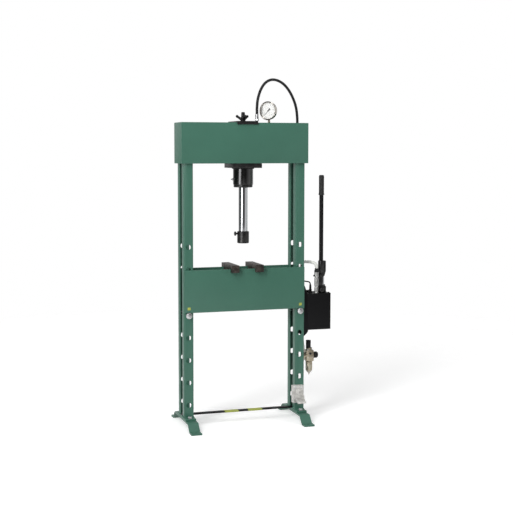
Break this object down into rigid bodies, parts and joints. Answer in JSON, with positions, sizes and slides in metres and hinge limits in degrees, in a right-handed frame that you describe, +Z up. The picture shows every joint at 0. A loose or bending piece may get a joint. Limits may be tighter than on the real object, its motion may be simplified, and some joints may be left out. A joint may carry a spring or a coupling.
{
  "type": "hydraulic shop press",
  "caption": "Floor-standing H-frame hydraulic press with a height-adjustable bed on pins, a sliding ram carriage and a side-mounted lever pump.",
  "frame": {"origin": "on the floor, at the centre of the four anchor holes in the toes of the feet", "axes": "+Z up along the columns, +X to the right along the head beam, +Y to the back"},
  "size_m": [0.88, 0.464, 1.9344],
  "materials": {
    "green_paint": "semi-gloss green machine enamel",
    "black_paint": "semi-gloss black enamel",
    "black_oxide": "blackened steel with an oily satin finish",
    "zinc_steel": "bright zinc-plated steel",
    "hard_chrome": "hard chrome, ground and polished",
    "cast_alloy": "cast aluminium alloy, lightly shot-blasted",
    "black_plastic": "moulded black plastic",
    "seal_rubber": "oil-resistant seal rubber",
    "hose_rubber": "black rubber hose cover with cloth marks",
    "brass": "dull machined brass",
    "stainless": "polished stainless steel case",
    "dial_white": "white printed dial plate",
    "needle_black": "black painted needle",
    "clear_glass": "flat gauge glass",
    "grip_rubber": "black moulded rubber grip",
    "clear_tube": "milky translucent air tube",
    "bowl_plastic": "smoked translucent filter bowl"
  },
  "bodies": {
    "frame": {"left_column": "green_paint", "right_column": "green_paint", "base_plates": "green_paint", "left_foot": "green_paint", "right_foot": "green_paint", "foot_bolts": "zinc_steel", "foot_nuts": "zinc_steel", "tie_bar": "black_paint", "head_front_plate": "green_paint", "head_rear_plate": "green_paint", "head_end_plates": "green_paint", "head_packers": "green_paint", "hose_clips": "zinc_steel", "hydraulic_hose": "hose_rubber", "pump_bracket": "black_paint", "bracket_bolts": "zinc_steel", "reservoir": "black_paint", "reservoir_cover": "black_paint", "pump_block": "black_oxide", "lever_pivot_pin": "zinc_steel", "air_motor": "cast_alloy", "air_hose": "clear_tube", "hose_pump_fitting": "zinc_steel", "regulator_body": "brass", "regulator_bowl": "bowl_plastic", "pedal_body": "cast_alloy"},
    "bed": {"bed_front_plate": "green_paint", "bed_rear_plate": "green_paint", "bed_spacers": "green_paint"},
    "left_pin": {"left_bed_pin": "zinc_steel"},
    "right_pin": {"right_bed_pin": "zinc_steel"},
    "left_block": {"left_press_block": "black_oxide"},
    "right_block": {"right_press_block": "black_oxide"},
    "carriage": {"carriage_plate": "black_oxide", "carriage_flange": "black_oxide", "clamp_stud": "zinc_steel", "cylinder_barrel": "black_paint", "gland_nut": "black_oxide", "bleed_screw": "zinc_steel", "return_spring": "zinc_steel", "oil_manifold": "black_oxide", "hose_top_fitting": "zinc_steel", "gauge_stem": "brass", "gauge_case": "stainless", "gauge_dial": "dial_white", "gauge_glass": "clear_glass"},
    "clamp_knob": {"star_knob": "black_plastic"},
    "ram": {"ram_rod": "hard_chrome", "ram_nose": "black_oxide", "piston": "zinc_steel", "piston_seal": "seal_rubber"},
    "thumb_screw": {"nose_screw": "black_oxide"},
    "needle": {"gauge_needle": "needle_black"},
    "lever": {"lever_socket": "black_oxide", "lever_tube": "black_paint", "lever_grip": "grip_rubber"},
    "plunger": {"pump_plunger": "hard_chrome"},
    "release_valve": {"release_knob": "black_oxide"},
    "pressure_knob": {"regulator_knob": "black_plastic"},
    "treadle": {"pedal_treadle": "cast_alloy"}
  },
  "joints": [
    {"name": "bed_lift", "type": "slide", "parent": "frame", "child": "bed", "axis": [0, 0, 1], "range_m": [0, 0.375]},
    {"name": "left_pin_pull", "type": "slide", "parent": "frame", "child": "left_pin", "axis": [0, -1, 0], "range_m": [0, 0.16]},
    {"name": "right_pin_pull", "type": "slide", "parent": "frame", "child": "right_pin", "axis": [0, -1, 0], "range_m": [0, 0.16]},
    {"name": "left_block_slide", "type": "slide", "parent": "bed", "child": "left_block", "axis": [1, 0, 0], "range_m": [-0.15, 0.015]},
    {"name": "right_block_slide", "type": "slide", "parent": "bed", "child": "right_block", "axis": [1, 0, 0], "range_m": [-0.01, 0.15]},
    {"name": "carriage_slide", "type": "slide", "parent": "frame", "child": "carriage", "axis": [1, 0, 0], "range_m": [-0.08, 0.08], "deforming": ["hydraulic_hose"]},
    {"name": "clamp_knob_turn", "type": "hinge", "parent": "carriage", "child": "clamp_knob", "pos_m": [0.008, 0, 1.7], "axis": [0, 0, 1], "range_deg": [0, 360]},
    {"name": "ram_stroke", "type": "slide", "parent": "carriage", "child": "ram", "axis": [0, 0, 1], "range_m": [0, 0.24], "deforming": ["return_spring"]},
    {"name": "thumb_screw_turn", "type": "hinge", "parent": "ram", "child": "thumb_screw", "pos_m": [-0.04, 0, 1.0667], "axis": [1, 0, 0], "range_deg": [0, 360]},
    {"name": "gauge_needle_turn", "type": "hinge", "parent": "carriage", "child": "needle", "pos_m": [0.16, 0, 1.75], "axis": [0.766, 0.6428, 0], "range_deg": [0, 270], "stiffness_Nm_per_rad": 0.002},
    {"name": "lever_swing", "type": "hinge", "parent": "frame", "child": "lever", "pos_m": [0.468, 0, 0.818], "axis": [0, 1, 0], "range_deg": [0, 60]},
    {"name": "plunger_slide", "type": "slide", "parent": "frame", "child": "plunger", "axis": [0, 0, 1], "range_m": [-0.0175, 0]},
    {"name": "release_valve_turn", "type": "hinge", "parent": "frame", "child": "release_valve", "pos_m": [0.465, -0.04, 0.737], "axis": [0, -1, 0], "range_deg": [0, 180]},
    {"name": "pressure_knob_turn", "type": "hinge", "parent": "frame", "child": "pressure_knob", "pos_m": [0.43, -0.025, 0.362], "axis": [1, 0, 0], "range_deg": [0, 720]},
    {"name": "treadle_press", "type": "hinge", "parent": "frame", "child": "treadle", "pos_m": [0.3065, -0.099, 0.141], "axis": [1, 0, 0], "range_deg": [0, 12], "stiffness_Nm_per_rad": 1, "springref_deg": -17.19}
  ],
  "couplings": [
    {"joint": "plunger_slide", "follows": "lever_swing", "m_per_rad": -0.0165}
  ]
}
